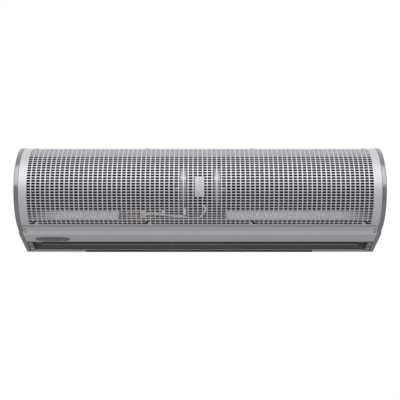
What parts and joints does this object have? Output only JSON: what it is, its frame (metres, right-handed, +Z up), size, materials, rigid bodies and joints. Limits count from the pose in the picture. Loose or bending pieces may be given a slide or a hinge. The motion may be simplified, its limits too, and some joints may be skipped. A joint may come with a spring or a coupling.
{
  "type": "air curtain",
  "caption": "Wall-mounted air curtain with a perforated front, cross-flow wheels driven by a central motor, and a slanted outlet with a tilting guide vane.",
  "frame": {"origin": "middle of the back of the wall plate, the face that lies against the wall", "axes": "+X along the casing, to the right of someone who faces it; +Y into the wall; +Z up"},
  "size_m": [0.9, 0.2119, 0.2633],
  "materials": {
    "satin_plate": "satin silver",
    "satin_extrusion": "satin anodised",
    "cap_grey": "semi-gloss grey",
    "galvanised": "zinc-coated sheet",
    "corner_steel": "dull zinc-coated sheet",
    "dark_steel": "dark grey paint",
    "wheel_black": "black coated",
    "bright_steel": "bright zinc",
    "cast_aluminium": "cast, unpainted",
    "motor_black": "black enamel",
    "rubber": "matte",
    "bronze": "sintered",
    "lamination": "varnished steel",
    "label_white": "blank label film",
    "cream_plastic": "moulded",
    "badge_grey": "bare oval plate",
    "vane_grey": "dark satin",
    "wire_brown": "wire insulation",
    "wire_red": "wire insulation",
    "wire_white": "wire sheath"
  },
  "bodies": {
    "casing": {"wall_plate": "galvanised", "rear_shell": "galvanised", "front_grille": "satin_plate", "front_fascia": "satin_extrusion", "rear_lip": "satin_extrusion", "left_end_cap": "cap_grey", "right_end_cap": "cap_grey", "left_side_plate": "corner_steel", "right_side_plate": "corner_steel", "left_corner_screw_front": "bright_steel", "left_corner_screw_rear": "bright_steel", "right_corner_screw_front": "bright_steel", "right_corner_screw_rear": "bright_steel", "top_grille_screw_1": "bright_steel", "top_grille_screw_2": "bright_steel", "top_grille_screw_3": "bright_steel", "top_grille_screw_4": "bright_steel", "foot_grille_screw_1": "bright_steel", "foot_grille_screw_2": "bright_steel", "foot_grille_screw_3": "bright_steel", "foot_grille_screw_4": "bright_steel", "badge_plate": "badge_grey", "cable_grommet": "rubber", "scroll_plate": "galvanised", "tongue_plate": "galvanised", "left_tray_cover": "galvanised", "right_tray_cover": "galvanised", "wiring_shelf": "dark_steel", "terminal_block": "cream_plastic", "capacitor": "motor_black", "capacitor_strap": "bright_steel", "brown_wire": "wire_brown", "red_wire": "wire_red", "motor_lead": "wire_white", "splice_cap": "wire_white", "motor_tube": "motor_black", "stator_core": "lamination", "left_end_shield": "cast_aluminium", "right_end_shield": "cast_aluminium", "left_rubber_ring": "rubber", "right_rubber_ring": "rubber", "left_motor_bracket": "galvanised", "right_motor_bracket": "galvanised", "motor_label": "label_white", "left_bearing_holder": "rubber", "right_bearing_holder": "rubber", "left_bearing_bush": "bronze", "right_bearing_bush": "bronze"},
    "rotor": {"motor_shaft": "bright_steel", "rotor_core": "lamination", "left_wheel": "wheel_black", "right_wheel": "wheel_black", "left_wheel_hub": "dark_steel", "right_wheel_hub": "dark_steel", "left_stub_shaft": "bright_steel", "right_stub_shaft": "bright_steel"},
    "vane": {"guide_vane": "vane_grey", "left_vane_end": "vane_grey", "right_vane_end": "vane_grey"}
  },
  "joints": [
    {"name": "rotor_spin", "type": "hinge", "parent": "casing", "child": "rotor", "pos_m": [0, -0.106, 0.03], "axis": [1, 0, 0], "continuous": true},
    {"name": "vane_tilt", "type": "hinge", "parent": "casing", "child": "vane", "pos_m": [0, -0.0775, -0.096], "axis": [1, 0, 0], "range_deg": [-20, 20]}
  ]
}
